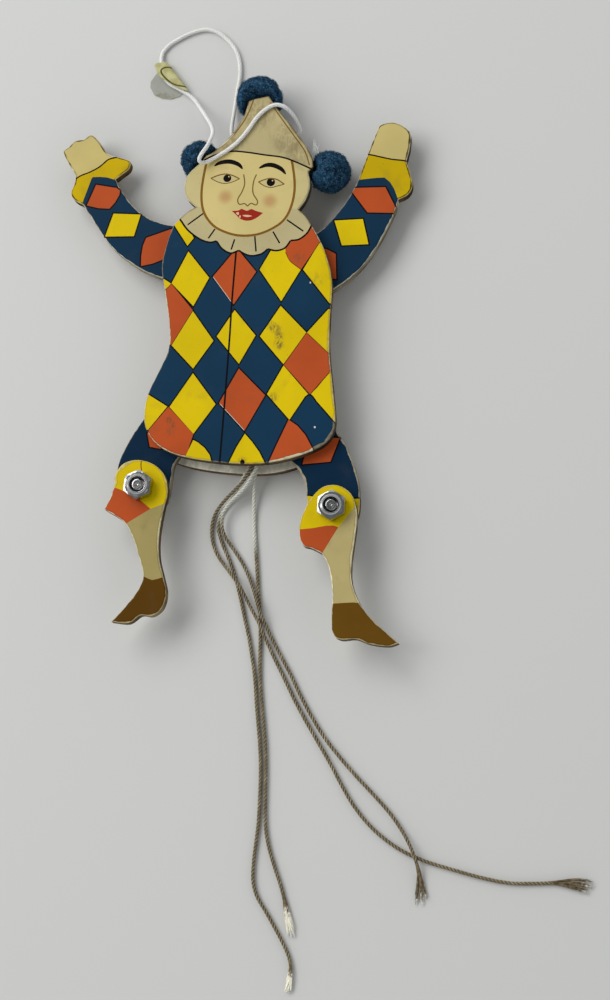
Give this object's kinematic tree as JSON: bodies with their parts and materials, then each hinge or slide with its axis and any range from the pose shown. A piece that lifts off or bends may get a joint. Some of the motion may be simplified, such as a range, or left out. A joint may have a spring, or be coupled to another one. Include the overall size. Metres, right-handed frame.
{
  "type": "jumping jack",
  "caption": "Flat painted wooden jumping jack clown with cord-drawn arms and legs between two body panels, bolted knees, felt pompoms and a hanging cord.",
  "frame": {"origin": "on the back of the back panel, level with the middle of the body", "axes": "+X to the viewer's right, +Y up the figure towards the hat, +Z out of the painted face"},
  "size_m": [0.1531, 0.2589, 0.0133],
  "materials": {
    "painted_wood": "satin paint, worn edges",
    "stained_wood": "plain, dark edges",
    "bare_wood": "raw",
    "dowel_wood": "raw",
    "plated_steel": "bright plated",
    "twine": "twisted",
    "white_cord": "soft cotton",
    "foil_paper": "gold foil",
    "felt": "wool felt"
  },
  "bodies": {
    "body": {"front_panel": "painted_wood", "back_panel": "stained_wood", "neck_spacer": "bare_wood", "waist_spacer_left": "bare_wood", "waist_spacer_right": "bare_wood", "shoulder_dowel_left": "dowel_wood", "shoulder_dowel_right": "dowel_wood", "hip_dowel_left": "dowel_wood", "hip_dowel_right": "dowel_wood", "pull_cord_arm_left": "twine", "pull_cord_arm_right": "twine", "pull_cord_leg_left": "twine", "pull_cord_leg_right": "twine", "hanging_cord": "white_cord", "hanging_knot": "white_cord", "cord_tag": "foil_paper", "pompom_top": "felt", "pompom_right": "felt", "pompom_left": "felt"},
    "arm_left": {"arm_left": "painted_wood"},
    "arm_right": {"arm_right": "painted_wood"},
    "arm_pull": {"arm_draw_cord": "twine"},
    "leg_pull": {"leg_draw_cord": "twine"},
    "thigh_left": {"thigh_left": "painted_wood", "knee_bolt_left": "plated_steel", "knee_nut_left": "plated_steel"},
    "thigh_right": {"thigh_right": "painted_wood", "knee_bolt_right": "plated_steel", "knee_nut_right": "plated_steel"},
    "shin_left": {"shin_left": "painted_wood"},
    "shin_right": {"shin_right": "painted_wood"}
  },
  "joints": [
    {"name": "shoulder_left", "type": "hinge", "parent": "body", "child": "arm_left", "pos_m": [-0.0175, 0.0265, 0.00475], "axis": [0, 0, 1], "range_deg": [-2, 92]},
    {"name": "shoulder_right", "type": "hinge", "parent": "body", "child": "arm_right", "pos_m": [0.016, 0.026, 0.00475], "axis": [0, 0, 1], "range_deg": [-105.8, 2.3]},
    {"name": "arm_pull", "type": "slide", "parent": "body", "child": "arm_pull", "axis": [0, -1, 0], "range_m": [-0.0123, 0.0003]},
    {"name": "hip_left", "type": "hinge", "parent": "body", "child": "thigh_left", "pos_m": [-0.014, -0.016, 0.00475], "axis": [0, 0, 1], "range_deg": [-40, 12]},
    {"name": "hip_right", "type": "hinge", "parent": "body", "child": "thigh_right", "pos_m": [0.0155, -0.0195, 0.00475], "axis": [0, 0, 1], "range_deg": [-12, 40]},
    {"name": "leg_pull", "type": "slide", "parent": "body", "child": "leg_pull", "axis": [0, -1, 0], "range_m": [-0.0016, 0.0054]},
    {"name": "knee_left", "type": "hinge", "parent": "thigh_left", "child": "shin_left", "pos_m": [-0.0247, -0.0375, 0.008], "axis": [0, 0, 1], "range_deg": [-50, 24]},
    {"name": "knee_right", "type": "hinge", "parent": "thigh_right", "child": "shin_right", "pos_m": [0.0267, -0.0407, 0.008], "axis": [0, 0, 1], "range_deg": [-24, 50]}
  ],
  "couplings": [
    {"joint": "shoulder_right", "follows": "shoulder_left", "ratio": -1.15},
    {"joint": "arm_pull", "follows": "shoulder_left", "m_per_rad": -0.0076},
    {"joint": "hip_right", "follows": "hip_left", "ratio": -1},
    {"joint": "leg_pull", "follows": "hip_left", "m_per_rad": -0.0076}
  ]
}
